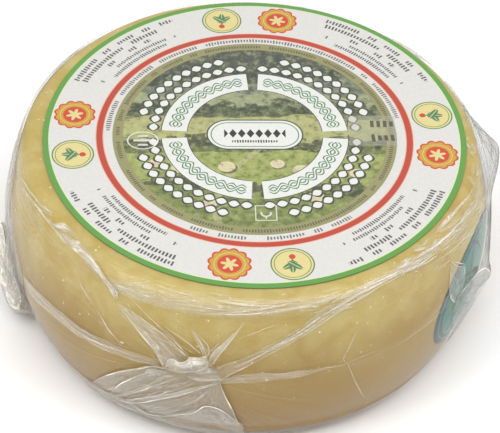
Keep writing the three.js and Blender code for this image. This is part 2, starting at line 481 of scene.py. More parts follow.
def labelMaterial():
    material, tree, shader = newMaterial("labelPaper")
    settings = labelPrint
    node = tree.nodes.new("ShaderNodeMapping")
    node.vector_type = "TEXTURE"
    plug(tree, tree.nodes.new("ShaderNodeTexCoord").outputs["Object"], node.inputs["Vector"])
    node.inputs["Location"].default_value = labelCentre
    node.inputs["Rotation"].default_value = (0, 0, math.radians(settings["turn"]))
    node.inputs["Scale"].default_value = (settings["unit"],) * 3
    point = node.outputs[0]
    x, y = parted(tree, point)[:2]
    reach = hypot(x, y)
    angle = y.math("ARCTAN2", x) * math.degrees(1)
    quarter = angle.wrap(90.0) - 45  # 0 in the middle of each quarter
    axis = (angle + 45).wrap(90.0) - 45  # 0 on each axis
    paint = Paint(tree, settings["paper"])
    for inner, outer, colour in settings["rings"]:
        paint.over(reach.near((inner + outer) / 2, (outer - inner) / 2), colour)

    # the picture: rolling fields, dark woods along their crests, a path and bales
    inside = reach.under(0.63)
    grass = cloud(tree, point, 26.0, 5.0, 0.65)
    paint.over(inside, pasture["far"])
    rough = cloud(tree, point, 9.0, 4.0, 0.6)
    for i, (crest, roll, speed, colour) in enumerate(pasture["layers"]):
        line = cloud(tree, joined(tree, x + i * 3.1, i * 1.7), speed, 2.0) * roll * 3.0
        land = y.under(line + (crest - roll * 1.5))
        paint.over(land * inside, colour)
        tuft = (rough.over(0.5) * 0.035 + 0.012) * (i % 2 == 0)
        paint.over(abs(y - line - (crest - roll * 1.5)).under(tuft) * inside * 0.8, pasture["woods"])
    furrow = (x * 0.5 + y * 1.6) * 110
    paint.over(y.near(0.07, 0.06) * furrow.sin().over(0.1) * inside * 0.25, pasture["path"])
    furrow = (x * 1.2 - y * 0.9) * 90
    paint.over(y.near(-0.26, 0.08) * x.over(0.18) * furrow.sin().over(0.2) * inside * 0.2, pasture["woods"])
    bend = (y * 5).sin() * 0.12 + y * 0.5
    paint.over((x - bend - 0.13).near(0.0, 0.018) * y.under(-0.1) * inside * 0.6, pasture["path"])
    for cx, cy, size in pasture["bales"]:
        paint.over(hypot((x - cx - 0.008) / 1.25, y - cy + 0.012).under(size) * 0.7, pasture["woods"])
        paint.over(hypot((x - cx) / 1.15, y - cy).under(size), pasture["straw"])
        paint.over(hypot((x - cx) / 1.15, y - cy).near(size * 0.5, size * 0.1) * 0.4, pasture["path"])
    paint.over(inside * grass.ramp(0.45, 0.75) * 0.5, srgb(186, 190, 138))
    paint.over(inside * grass.ramp(0.5, 0.3) * 0.6, pasture["woods"])

    # small print in rows, the same in each quarter, and in the two rings
    for i, (radius, half, size) in enumerate(settings["rows"]):
        row = smallPrint(quarter * math.radians(radius), reach - radius, size, 20.0 * i)
        paint.over(row * abs(quarter).under(half) * 0.9, settings["ink"])
    full = (angle + 360).wrap(360.0)
    covered = full.near(94, 84).most(full.near(275, 32))
    along = angle * math.radians(0.703)
    paint.over(smallPrint(along, reach - 0.703, 0.024, 130.0) * covered * 0.8, settings["ink"])
    along = angle * math.radians(0.655)
    paint.over(smallPrint(along, reach - 0.655, 0.022, 150.0) * 0.75, settings["dark"])

    # four white bands round the middle with a green plait in each
    band = abs(quarter * math.radians(0.386)).under(0.386 * math.radians(45) - 0.026)
    paint.over(band * reach.near(0.386, 0.064), settings["dark"])
    paint.over(band * reach.near(0.386, 0.060), settings["white"])
    wave = quarter * math.radians(0.386)
    part = abs(wave).under(0.25)
    for shift in (0.0, math.pi):
        strand = (wave * 62 + shift).sin() * 0.02
        off = abs(reach - 0.386 - strand)
        paint.over(off.under(0.0125) * part, settings["green"])
        paint.over(off.under(0.005) * part, settings["white"])

    # two rows of pointed ovals in each quarter, white with a dark rim
    for radius, half, step, tall in ((0.556, 0.3, 0.06, 0.028), (0.488, 0.36, 0.06, 0.027)):
        along = quarter * math.radians(radius)
        cell = ((along + 10 * step) / step).fract() * 2 - 1
        shape = cell * cell + abs((reach - radius) / tall)
        row = abs(along).under(half)
        paint.over(shape.under(1.15) * row, settings["dark"])
        paint.over(shape.under(0.72) * row, settings["white"])

    # two badges on each side of each axis
    lean = axis * math.radians(1)
    across, along = reach * lean.sin(), reach * lean.cos()
    size = settings["badgeRadius"]
    cx, cy = polar(settings["badgeReach"], -settings["badgeTurn"])
    ax, ay = (along - cx) / size, (across - cy) / size
    far, spin = hypot(ax, ay), ay.math("ARCTAN2", ax)
    lobes = abs((spin * 6).sin())
    paint.over(far.under(lobes * 0.12 + 0.9), settings["red"])
    paint.over(far.under(lobes * 0.1 + 0.82), settings["yellow"])
    paint.over(far.near(0.7, 0.015), settings["cream"])
    paint.over(far.under(0.56), settings["red"])
    paint.over(far.under((spin * 6).sin() * 0.12 + 0.3), settings["cream"])
    cx, cy = polar(settings["badgeReach"], settings["badgeTurn"])
    ax, ay = (along - cx) / size, (across - cy) / size
    far = hypot(ax, ay)
    paint.over(far.under(1.0), settings["green"])
    paint.over(far.under(0.94), settings["cream"])
    paint.over(far.near(0.83, 0.018), settings["green"])
    for tilt in (-55, 0, 55):  # a sprig of three leaves
        c, s = polar(1.0, tilt)
        up, aside = ax * c + ay * s, ay * c - ax * s
        paint.over(hypot((up - 0.14) / 0.4, aside / 0.15).under(1.0), settings["green"])
        paint.over(abs(aside).under(0.02) * up.near(0.14, 0.4), settings["cream"])
    paint.over(abs(ay).under(0.035) * ax.near(-0.4, 0.22), settings["green"])
    paint.over(hypot(ax + 0.46, ay).under(0.15), settings["red"])

    # the plaque in the middle, with a row of lozenges and a row of small print
    def plaque(halfLength, halfHeight):
        return hypot((abs(x) - (halfLength - halfHeight)).most(0.0), y).under(halfHeight)
    paint.over(plaque(0.232, 0.107), settings["dark"])
    paint.over(plaque(0.225, 0.1), settings["white"])
    paint.over(plaque(0.212, 0.087), settings["green"])
    paint.over(plaque(0.207, 0.082), settings["white"])
    cell = (x / 0.042 + 10).fract() * 2 - 1
    paint.over((abs(cell) + abs((y - 0.008) / 0.034)).under(0.9) * abs(x).under(0.147), settings["ink"])
    paint.over(smallPrint(x, y + 0.048, 0.02, 170.0) * abs(x).under(0.11), settings["ink"])

    # the small oval, the pale box and the small square
    ox, oy = (x + 0.535) / 0.075, (y + 0.043) / 0.062
    paint.over(hypot(ox, oy).near(0.96, 0.04), settings["white"])
    middleBar = abs(oy).under(0.12) * abs(ox).under(0.6)
    outerBars = abs(abs(oy) - 0.5).under(0.1) * abs(ox).under(0.32)
    paint.over(middleBar.most(outerBars) * 0.8, settings["white"])
    box = x.near(0.562, 0.116) * y.near(0.03, 0.107)
    paint.over(box * 0.45, srgb(160, 160, 140))
    for level, seed in ((0.078, 190.0), (-0.022, 210.0)):
        paint.over(smallPrint(x, y - level, 0.05, seed) * box * 0.9, settings["dark"])
    sx, sy = abs(x - 0.034), y + 0.537
    paint.over(sx.most(abs(sy)).near(0.048, 0.0028) * 0.8, settings["white"])
    cup = hypot(sx, sy).near(0.022, 0.0045) * sy.under(0.006)
    paint.over(cup.most(sx.under(0.003) * sy.near(-0.03, 0.01)) * 0.8, settings["white"])

    fibre = placed(tree, mottle, Point=point, Scale=5.0)
    paint.over(fibre["Grain"].ramp(0.4, 0.6) * 0.05, settings["dark"])
    plug(tree, paint.colour, shader.inputs["Base Color"])
    plug(tree, fibre["Grain"].ramp(0, 1, 0.42, 0.6), shader.inputs["Roughness"])
    plug(tree, addBump(tree, fibre["Grain"], 0.12, 0.0002), shader.inputs["Normal"])
    return material


def dressLabel():
    label = bpy.data.objects["paper_label"]
    material = labelMaterial()
    if not label.material_slots:
        label.data.materials.append(material)
    for slot in label.material_slots:
        slot.material = material


film = {
    "out": 0.25,  # mm off the wheel's outline
    "rings": (14, 48, 12),
    "around": 800,
    "overLabel": 0.55,
    "veil": srgb(228, 222, 209),  # where the film is doubled
    "white": srgb(252, 248, 237),  # where it is creased: the milkier crease with a painted highlight on it
    "shade": srgb(84, 98, 98),  # painted shade, for film in shade and film seen edge-on
    "thickness": 0.08,
    "gloss": 0.15,  # roughness of its shine
    "milkGloss": 0.35,
    "ior": 1.4,
    "pleats": 34,  # underneath
    "pleatReach": 92,  # mm from the axis
    "pleatDepth": 0.4,
}
knotPlaces = [(-101.5, 48.5), (82.0, 33.0)]  # where the folds meet in front and behind, half a turn apart
# soft ridges in the film: points, width and height in mm
skinRidges = [
    ([(-121, 70), (-112, 73.4), (-103, 75.2), (-92, 76.2), (-80, 75.8), (-72, 75.2)], 2.2, 0.4),
    ([(-119, 68), (-108, 70.6), (-98, 72.4), (-86, 73.6), (-76, 73.2)], 1.5, 0.3),
    ([(-104, 77.2), (-92, 77.7), (-80, 77.6), (-66, 77.6)], 0.9, 0.3),
    ([(-12, 76.2), (-21, 77.3), (-34, 77.8), (-44, 77.8)], 0.8, 0.4),
    ([(-15, 72.3), (-22, 74.8), (-35, 76.4), (-47, 77.4)], 0.9, 0.45),
    ([(-13, 61.7), (-20, 65.5), (-26, 68.2), (-33.5, 70.4), (-41, 72.6), (-50, 75.3)], 1.2, 0.5),
    ([(-130, 66), (-123.5, 57.4), (-119, 50.9), (-114, 45)], 1.6, 0.4),
    ([(-165, 60), (-158, 64), (-148, 67), (-136, 66), (-124, 60), (-112, 52)], 3.0, 0.3),
    ([(-96, 54), (-88, 62), (-80, 67.5), (-70, 71.5), (-58, 74.5), (-44, 76)], 2.4, 0.5),
    ([(-92, 46), (-80, 47.5), (-66, 47), (-50, 49), (-36, 51), (-24, 50)], 2.0, 0.35),
    ([(-66, 47), (-65.4, 54.9), (-63, 62.9), (-62, 70)], 1.2, 0.3),
    ([(-66, 46), (-63.5, 34.8), (-60.8, 23.5), (-58.6, 14)], 1.2, 0.3),
    ([(82, 33), (76, 48), (72, 60), (60, 69), (40, 74)], 2.0, 0.5),
    ([(82, 33), (92, 46), (104, 58), (128, 68), (150, 72)], 2.0, 0.5),
    ([(82, 33), (64, 34), (46, 31), (30, 34)], 2.0, 0.4),
    ([(84, 33), (104, 34), (130, 30), (156, 36)], 2.0, 0.4),
]


def filmMaterial():
    material, tree, milk = newMaterial("clearFilm")
    point = tree.nodes.new("ShaderNodeTexCoord").outputs["Object"]
    side = placed(tree, aroundWheel, Point=point)

    def attribute(name, output):
        node = tree.nodes.new("ShaderNodeAttribute")
        node.attribute_name = name
        return node.outputs[output]

    haze = Wire(tree, attribute("haze", "Fac"))
    # the third part of grainWay is the share of painted shade
    along, across, shade = parted(tree, attribute("grainWay", "Vector"))
    # streaks that run with each fold, and thin lines where a slow noise passes its middle value
    streaks = cloud(tree, joined(tree, along * 0.05, across * 0.8), 1.0, 3.0, 0.6)
    slow = cloud(tree, joined(tree, along * 0.03, across * 0.42, 3.3), 1.0, 2.0, 0.5)
    quick = cloud(tree, joined(tree, along * 0.06, across * 1.0, 7.7), 1.0, 2.0, 0.5)
    lines = abs(slow - 0.5).ramp(0.016, 0.0) + abs(quick - 0.5).ramp(0.03, 0.0) * 0.6
    # a slow ripple, sharp wrinkles along the shoulder and rays round the knots, none of them over the label
    upright = side["Height"].ramp(78.5, 78.3)
    ripple = cloud(tree, point, 30, 2.0, 0.45)
    rimWay = joined(tree, side["Around"] * 0.022, side["Height"] * 0.4)
    wrinkles = abs(cloud(tree, rimWay, 1.0, 3.0, 0.55) - 0.5).ramp(0.0, 0.1)
    wrinkles = wrinkles * side["Height"].ramp(56, 72) * upright
    drawn = lines * haze.ramp(0.03, 0.12)
    relief = ripple * 0.7 + streaks * 0.35 - wrinkles * 0.3 - drawn * 0.1
    # the rays end 80 mm from a knot, so each place needs only the nearer one's
    (frontAzimuth, frontHeight), (backAzimuth, backHeight) = knotPlaces
    behindWheel = side["Around"].over(0.0)
    knotAround = behindWheel * (math.radians(backAzimuth - frontAzimuth) * wheel["radius"])
    x = side["Around"] - knotAround - math.radians(frontAzimuth) * wheel["radius"]
    y = side["Height"] - behindWheel * (backHeight - frontHeight) - frontHeight
    away = hypot(x, y)
    rays = cloud(tree, joined(tree, x / away * 3.6, y / away * 3.6, away * 0.012), 1.0, 2.0, 0.5)
    relief = relief - abs(rays - 0.5).ramp(0.0, 0.08) * away.ramp(80, 8) * upright * 0.4
    crease = addBump(tree, relief, 0.6, 0.0012)
    mirror = tree.nodes.new("ShaderNodeBsdfGlossy")
    mirror.inputs["Roughness"].default_value = film["gloss"]
    fresnel = tree.nodes.new("ShaderNodeFresnel")
    fresnel.inputs["IOR"].default_value = film["ior"]
    clear = tree.nodes.new("ShaderNodeBsdfTransparent")
    # painted highlight: the milk turns white where haze and drawn lines are strongest; painted shade greys it
    # where the shade attribute is set
    cover = (haze * streaks.ramp(0.3, 0.7, 0.5, 1.5) + drawn * 0.3).least(1.0)
    paint = Paint(tree, film["veil"]).over(cover.ramp(0.15, 0.5), film["white"]).over(shade, film["shade"])
    plug(tree, paint.colour, milk.inputs["Base Color"])
    milk.inputs["Roughness"].default_value = film["milkGloss"]
    for shader in (mirror, fresnel, milk):
        plug(tree, crease, shader.inputs["Normal"])
    behind = Wire(tree, tree.nodes.new("ShaderNodeNewGeometry").outputs["Backfacing"])
    gloss = Wire(tree, fresnel.outputs[0]) * behind.flip()  # seen from within, the film lets all light out
    pane, whole = (tree.nodes.new("ShaderNodeMixShader") for i in range(2))
    for mix, parts in ((pane, (gloss, clear.outputs[0], mirror.outputs[0])),
                       (whole, (cover, pane.outputs[0], milk.outputs[0]))):
        for slot, value in zip(mix.inputs, parts):
            plug(tree, value, slot)
    plug(tree, whole.outputs[0], tree.nodes["Material Output"].inputs["Surface"])
    return material


clearFilm = filmMaterial()


def ridgeRelief(azimuth, height):
    # how far each place stands out because of the soft ridges, in mm
    relief = np.zeros_like(azimuth)
    for points, width, rise in skinRidges:
        line = [alongCurve(points, i / 40) for i in range(41)]
        least = np.full_like(azimuth, 1e9)
        for one, other in zip(line, line[1:]):
            x0 = np.radians((azimuth - one[0] + 180) % 360 - 180) * wheel["radius"]
            y0 = height - one[1]
            dx, dy = math.radians(other[0] - one[0]) * wheel["radius"], other[1] - one[1]
            t = np.clip((x0 * dx + y0 * dy) / (dx * dx + dy * dy + 1e-9), 0, 1)
            least = np.minimum(least, (x0 - t * dx) ** 2 + (y0 - t * dy) ** 2)
        relief += rise * np.exp(-least / (width * width))
    return relief


def addFilmSkin():
    bm = wrapWheel(wheelOutline(film["out"], *film["rings"]), film["around"])
    for v in bm.verts:
        # slack in the film, longer round the wheel than up it
        where = Vector((v.co.x * 28, v.co.y * 28, v.co.z * 75))
        v.co += v.co.normalized() * (noise.noise(where) * 0.16 + 0.05) * mm
    piece = newPiece("filmSkin", bm, clearFilm)
    mesh = piece.data
    places = np.empty(len(mesh.vertices) * 3)
    mesh.vertices.foreach_get("co", places)
    places = places.reshape(-1, 3) / mm
    reach = np.hypot(places[:, 0], places[:, 1])
    azimuth = np.degrees(np.arctan2(places[:, 1], places[:, 0]))
    outward = places[:, :2] / np.maximum(reach, 1)[:, None]
    onSide = (reach > 80) & (places[:, 2] > 2)
    relief = np.where(onSide, ridgeRelief(azimuth, places[:, 2]), 0)
    tilt = np.clip((places[:, 2] - 70) / 8, 0, 1)  # 0 on the upright side, 1 on top
    places[:, :2] += outward * (relief * (1 - tilt))[:, None]
    places[:, 2] += relief * tilt
    flatTop = wheel["radius"] - wheel["topInset"] - wheel["topEdge"]
    onTop = np.clip((flatTop + 4 - reach) / 5, 0, 1) * (places[:, 2] > wheel["height"] - 3)
    places[:, 2] += onTop * (film["overLabel"] - film["out"])
    # underneath, the film is gathered into pleats that run to the middle
    beneath = (places[:, 2] < 1) & (reach < film["pleatReach"])
    turn = np.radians(azimuth)
    pleats = 0.5 + 0.5 * np.sin(turn * film["pleats"] + 2 * np.sin(turn * 5))
    ends = np.clip(reach / 20, 0, 1) * np.clip((film["pleatReach"] - reach) / 6, 0, 1)
    gathered = 0.05 + film["pleatDepth"] * pleats * ends
    places[:, 2] = np.where(beneath, gathered, np.maximum(places[:, 2], -0.05))
    mesh.vertices.foreach_set("co", (places * mm).ravel())
    haze = mesh.attributes.new("haze", "FLOAT", "POINT")
    haze.data.foreach_set("value", (0.012 + 0.1 * beneath * pleats).astype(np.float32))
    asWheelPart(piece)


def alongCurve(points, share):
    # a place on the smooth curve through the points
    spans = len(points) - 1
    i = min(int(share * spans), spans - 1)
    t = share * spans - i
    a, b, c, d = (points[min(max(k, 0), spans)] for k in (i - 1, i, i + 1, i + 2))
    return [0.5 * (2 * q + (r - p) * t + (2 * p - 5 * q + 4 * r - s) * t * t
                   + (3 * q - p - 3 * r + s) * t ** 3) for p, q, r, s in zip(a, b, c, d)]


def mmBetween(one, other):
    return math.hypot(math.radians(other[0] - one[0]) * wheel["radius"], other[1] - one[1])


def lifted(points, lift):
    # places without a lift of their own get this one
    return [(*p, lift)[:3] for p in points]


def newFilm():
    bm = bmesh.new()
    return bm, bm.verts.layers.float.new("haze"), bm.verts.layers.float_vector.new("grainWay")


def addFold(sheet, near, far, haze=0.15, edge=(0.5, 0.5), lift=0.5, belly=0.0, lip=0.1, waves=0.15, run=1.0,
            fade=0.0, soft=False, along=60, across=12, seed=0, threads=0, shade=0.0):
    # a strip of doubled film between two edges. "haze" is how milky it is, "edge" how white each edge is,
    # the milkier fold with a painted highlight on it, "fade" how much the haze thins out towards the far
    # edge, "soft" thins it towards both, "lip" and "belly" raise its edges and its middle, "waves" and "run"
    # are how deep and how close its wrinkles are, "threads" are sharp lines that run along it, and "shade"
    # is how much painted shade greys it.
    bm, hazeLayer, wayLayer = sheet
    near, far = lifted(near, lift), lifted(far, lift)
    length = mmBetween(near[0], near[-1])
    widest = max(mmBetween(alongCurve(near, i / 12), alongCurve(far, i / 12)) for i in range(13))
    draw = random.Random(seed * 101 + 7)
    for i in range(threads):
        start, end = draw.uniform(0.05, 0.95), draw.uniform(0.05, 0.95)
        first, last = sorted((draw.uniform(0, 0.6), draw.uniform(0.4, 1)))
        points = []
        for j in range(9):
            u = first + (max(last, first + 0.3) - first) * j / 8
            one, other = alongCurve(near, min(u, 1)), alongCurve(far, min(u, 1))
            points.append([a + (b - a) * (start + (end - start) * j / 8) for a, b in zip(one, other)])
        addCrease(sheet, points, width=draw.uniform(0.25, 0.6), peak=0.06,
                  haze=draw.uniform(0.2, 0.75), seed=seed * 10 + i, steps=40,
                  shade=shade * draw.uniform(0, 1))
    for v in bmesh.ops.create_grid(bm, x_segments=along, y_segments=across, size=0.5)["verts"]:
        u, w = v.co.x + 0.5, 0.5 - 0.5 * math.cos((v.co.y + 0.5) * math.pi)
        one, other = alongCurve(near, u), alongCurve(far, u)
        width = mmBetween(one, other)
        azimuth, height, up = (a + (b - a) * w for a, b in zip(one, other))
        wander = noise.noise(Vector((u * length * 0.2, round(w) * 7.0, seed * 1.9)))
        height += 0.15 * wander * min(1, width / 2)
        edgeAway = min(w, 1 - w) * width
        atEdge = math.exp(-(edgeAway / 0.3) ** 2)
        atEnd = min(1, u * length / 4, (1 - u) * length / 4) ** 0.6
        grain = noise.noise(Vector((u * length * 0.045, w * widest * 0.6 * run, seed * 3.7)))
        fine = noise.noise(Vector((u * length * 0.09, w * widest * 1.7 * run, seed * 5.1 + 9)))
        up += belly * 4 * w * (1 - w) * min(1, width / 4) + lip * atEdge * min(1, width)
        v.co = onWheel(azimuth, height, up + waves * (grain + 0.5 * fine) * min(1, width / 3))
        # painted highlight along the edges, brighter and fainter by turns
        glint = 0.7 + 1.3 * noise.noise(Vector((u * length * 0.12, round(w) * 5.0, seed * 4.1)))
        fill = haze * (1 - fade * w) * (1 + 0.7 * grain) * (4 * w * (1 - w) if soft else 1)
        milk = (fill * (1 - atEdge) + edge[round(w)] * atEdge * glint) * atEnd
        v[hazeLayer] = 1 - math.sqrt(1 - min(max(milk, 0), 0.95))
        v[wayLayer] = (u * length, w * widest * run, shade * (1 - atEdge))


def addCrease(sheet, points, width=0.55, peak=0.1, haze=0.55, lift=0.3, seed=0, steps=60, shade=0.0,
              blunt=0.4):
    # one sharp line where the film is pinched up, thinning out at both ends; its white is partly the milkier
    # crease and partly a painted highlight, and "shade" greys it as painted shade
    bm, hazeLayer, wayLayer = sheet
    points = lifted(points, lift)
    length = mmBetween(points[0], points[-1])
    for v in bmesh.ops.create_grid(bm, x_segments=steps, y_segments=4, size=0.5)["verts"]:
        u, w = v.co.x + 0.5, 2 * v.co.y
        here, ahead = alongCurve(points, u), alongCurve(points, min(1, u + 0.01))
        behind = alongCurve(points, max(0, u - 0.01))
        around = math.radians(ahead[0] - behind[0]) * wheel["radius"]
        run = Vector((around, ahead[1] - behind[1])).normalized()
        thin = math.sin(math.pi * min(max(u, 0.001), 0.999)) ** blunt
        half = width / 2 * thin * w * (1 + 0.4 * noise.noise(Vector((u * length * 0.3, seed, 0))))
        azimuth = here[0] - math.degrees(run.y * half / wheel["radius"])
        strength = 0.75 + 0.9 * noise.noise(Vector((u * length * 0.12, seed * 4.4, 5)))
        v.co = onWheel(azimuth, here[1] + run.x * half, here[2] + peak * thin * (1 - w * w))
        v[hazeLayer] = 1 - math.sqrt(1 - min(max(haze * strength * thin * (1 - w * w), 0), 0.95))
        v[wayLayer] = (u * length, half, shade)


def addGlints(sheet, path, count, spread, reach=9, haze=0.7, seed=0):
    # short creases painted white as highlights, scattered along a path, "reach" being the longest in mm
    draw = random.Random(seed * 31 + 5)
    length = mmBetween(path[0], path[-1])
    for i in range(count):
        middle, half = draw.random(), draw.uniform(0.25, 0.5) * reach / length
        azimuth, height = math.degrees(draw.gauss(0, spread) / wheel["radius"]), draw.gauss(0, spread)
        turn = draw.gauss(0, 0.25)
        points = []
        for j in range(5):
            spot = alongCurve(path, min(max(middle + half * (j / 2 - 1), 0), 1))
            lift = 0.45 + draw.random() * 0.2
            points.append([spot[0] + azimuth, spot[1] + height + turn * (j / 2 - 1), lift])
        addCrease(sheet, points, width=draw.uniform(0.3, 0.9), peak=0.07, haze=haze * draw.uniform(0.4, 1.3),
                  seed=seed * 50 + i, steps=14)


def addFilmPiece(name, sheet):
    piece = newPiece(name, sheet[0], clearFilm)
    shell = piece.modifiers.new("filmThickness", "SOLIDIFY")
    shell.thickness, shell.offset = film["thickness"] * mm, 0
    asWheelPart(piece)


frontBands = [
    # the tall triangle from its end down to the knot
    dict(near=[(-119.3, 67.4), (-114.7, 65.9), (-110.1, 63.1), (-106.3, 59.8), (-103.8, 56.6),
         (-101.2, 53)],
         far=[(-120, 67.2), (-115.7, 61.4), (-111.8, 56.1), (-109.5, 52.3), (-108, 48.5), (-107, 45)],
         haze=0.2, edge=(0.8, 0.9), lift=0.8, waves=0.3, run=0.6, threads=4),
    # from the left ear
    dict(near=[(-152, 42.5), (-146.4, 44.5), (-140.8, 46), (-134.9, 46.9), (-127.7, 46.6), (-122, 47.7),
         (-116.9, 47.8), (-108, 48.4)],
         far=[(-152, 40), (-146.4, 38.1), (-141.9, 39.6), (-134.8, 41), (-127.7, 41.1), (-121.4, 42.2),
         (-114.4, 44.2), (-107.8, 45.1)], haze=0.12, edge=(0.3, 0.4), lift=0.7, waves=0.2, threads=6),
    # up and to the right, then along the shoulder
    dict(near=[(-96.5, 48.6), (-93.2, 52.8), (-90, 55.5), (-85.2, 60.3), (-81.4, 64), (-78, 66.8),
         (-75.3, 69.9), (-72.6, 73.2), (-67.3, 76.2), (-60, 77.2), (-51.8, 77.3), (-43, 77), (-34, 76.2),
         (-24, 74.4)],
         far=[(-94.5, 43), (-92.4, 47), (-90, 50.2), (-86.4, 54.6), (-82.6, 58.6), (-78.8, 62.1),
         (-74.8, 65.5), (-70.4, 69.2), (-65.5, 72.6), (-59.1, 74.8), (-52.5, 75.5), (-44, 75.4),
         (-35, 74.6), (-24.5, 73.6)], haze=0.1, edge=(0.45, 0.5), lift=0.6, waves=0.25, threads=9,
         along=130),
    # along to the small star at the right
    dict(near=[(-94.5, 43.9), (-90.1, 47.6), (-85, 48.7), (-80.7, 47.9), (-77.9, 48.4), (-73.5, 48.1),
         (-66, 47)],
         far=[(-95, 42), (-90, 43.3), (-86.2, 43.8), (-81.7, 44.9), (-77.4, 45.2), (-72.2, 46.6),
         (-66, 46.7)], haze=0.14, edge=(0.4, 0.3), threads=3),
    # the two spikes over the knot
    dict(near=[(-101.3, 66.2), (-99.4, 62.7), (-97.5, 58.9), (-96.7, 55.6)],
         far=[(-101.4, 66), (-100.2, 61.8), (-99, 58.4), (-98.1, 54.8)], haze=0.15, edge=(0.6, 0.5),
         lift=0.8, threads=1),
    dict(near=[(-89.6, 71.3), (-91.2, 68), (-92.8, 65.1), (-94.7, 61), (-96.2, 57.8), (-97.2, 53)],
         far=[(-89.4, 71.1), (-91, 66.8), (-92.9, 61.8), (-94.2, 58), (-95.2, 54.6), (-96, 51.2)],
         haze=0.25, edge=(0.5, 0.6), lift=0.8, threads=3),
    # painted sheen: a soft whitish band of slack film along the front of the shoulder
    dict(near=[(-124, 75), (-114, 77.2), (-103, 77.8), (-90, 77.8), (-78, 77.6), (-66, 77.4)],
         far=[(-122, 70.5), (-112, 71), (-102, 72), (-91, 73), (-80, 74), (-68, 75.8)], haze=0.2,
         edge=(0, 0), soft=True, lift=0.45, lip=0, waves=0.05, threads=3, along=90),
    # a clear flap at the foot of the right ear, greyed with painted shade
    dict(near=[(-32.7, 44.4, 0.7), (-30.4, 47.3, 1), (-26.5, 47.5, 1.4), (-21.5, 44.6, 1.3),
         (-17, 39.4, 2.1), (-14, 33.6, 3.6), (-12, 27.8, 5.2)],
         far=[(-33.5, 43.6, 0.6), (-33.5, 36, 0.6), (-32, 28, 0.7), (-29, 20, 0.8), (-25, 14.5, 1),
         (-20, 13, 1.8), (-15, 16, 2.4)], haze=0.2, edge=(0.5, 0.2), shade=0.8, fade=0.6, waves=0.3,
         along=60, across=20, threads=1),
    # a small clear panel at the right
    dict(near=[(-33.4, 66.3), (-31, 61), (-28.4, 57.6), (-28.9, 52.6), (-32, 44.6)],
         far=[(-34.2, 64), (-35, 59), (-35.7, 53.4), (-34.6, 48), (-32.7, 44.4)], haze=0.1, edge=(0.5, 0.5),
         threads=1),
]
frontSheets = [
    # each of these sheets is greyed a little with painted shade
    # two long leaves from the knot down to the left, one over the other
    dict(near=[(-105, 45.4), (-109.3, 44.8), (-113, 40.9), (-117.5, 34.6), (-120, 30.2), (-124.2, 21.4),
         (-129.5, 8.4)],
         far=[(-104.5, 43.6), (-107.8, 38), (-111.4, 32), (-115, 26), (-119, 18.4), (-124, 13),
         (-129, 8.2)], haze=0.2, edge=(0.6, 0.3), lift=0.9, shade=0.25, waves=0.5, run=0.4, along=90,
         across=22, threads=4),
    dict(near=[(-102, 44), (-109.1, 44.2), (-111.4, 40), (-115, 32.7), (-118.2, 25.4), (-120.6, 18),
         (-122.3, 11.5)],
         far=[(-94.6, 43.2), (-98.3, 39.3), (-102.7, 33.1), (-108, 26.3), (-113.3, 18.1), (-118.5, 12),
         (-122.2, 11.2)], haze=0.18, edge=(0.6, 0.5), lift=1.4, shade=0.25, waves=0.6, run=0.4, along=90,
         across=26, threads=5),
    # the flat panel below them
    dict(near=[(-95.5, 43.6), (-99, 38.4), (-103.2, 32.1), (-108.4, 25.3), (-113.3, 17.1), (-116.3, 11.4)],
         far=[(-94.4, 43.8), (-93, 35.1), (-91.4, 26.7), (-90.6, 21), (-90.2, 17.5), (-89.9, 14.4)],
         haze=0.24, edge=(0.3, 0.6), lift=0.8, shade=0.25, waves=0.2, run=0.5, along=70, across=26,
         threads=3),
    # what joins it to the turned edge below
    dict(near=[(-123, 12.6), (-117, 13.6), (-111, 17.6), (-105.5, 22)],
         far=[(-123, 9.8), (-117, 9.4), (-111, 7.8), (-104.5, 16.4)], haze=0.22, edge=(0.2, 0.2), lift=0.7,
         shade=0.25, waves=0.2, run=0.5, along=40),
    # the white turned edge along the foot
    dict(near=[(-131, 8.6), (-122.3, 12.1), (-116.3, 12.6), (-110.7, 9.9), (-104.5, 17.4), (-99, 24.5),
         (-95.4, 27.9), (-92, 22), (-88.9, 15.4)],
         far=[(-131, 5.2), (-122.3, 4.2), (-116.3, 3.6), (-110.7, 3.3), (-104.5, 3.2), (-99, 3.1),
         (-95.4, 3.1), (-92, 3), (-88, 3.4)], haze=0.24, edge=(0.6, 0.5), lift=1, shade=0.25, waves=0.4,
         run=0.4, along=90, across=18, threads=3),
]
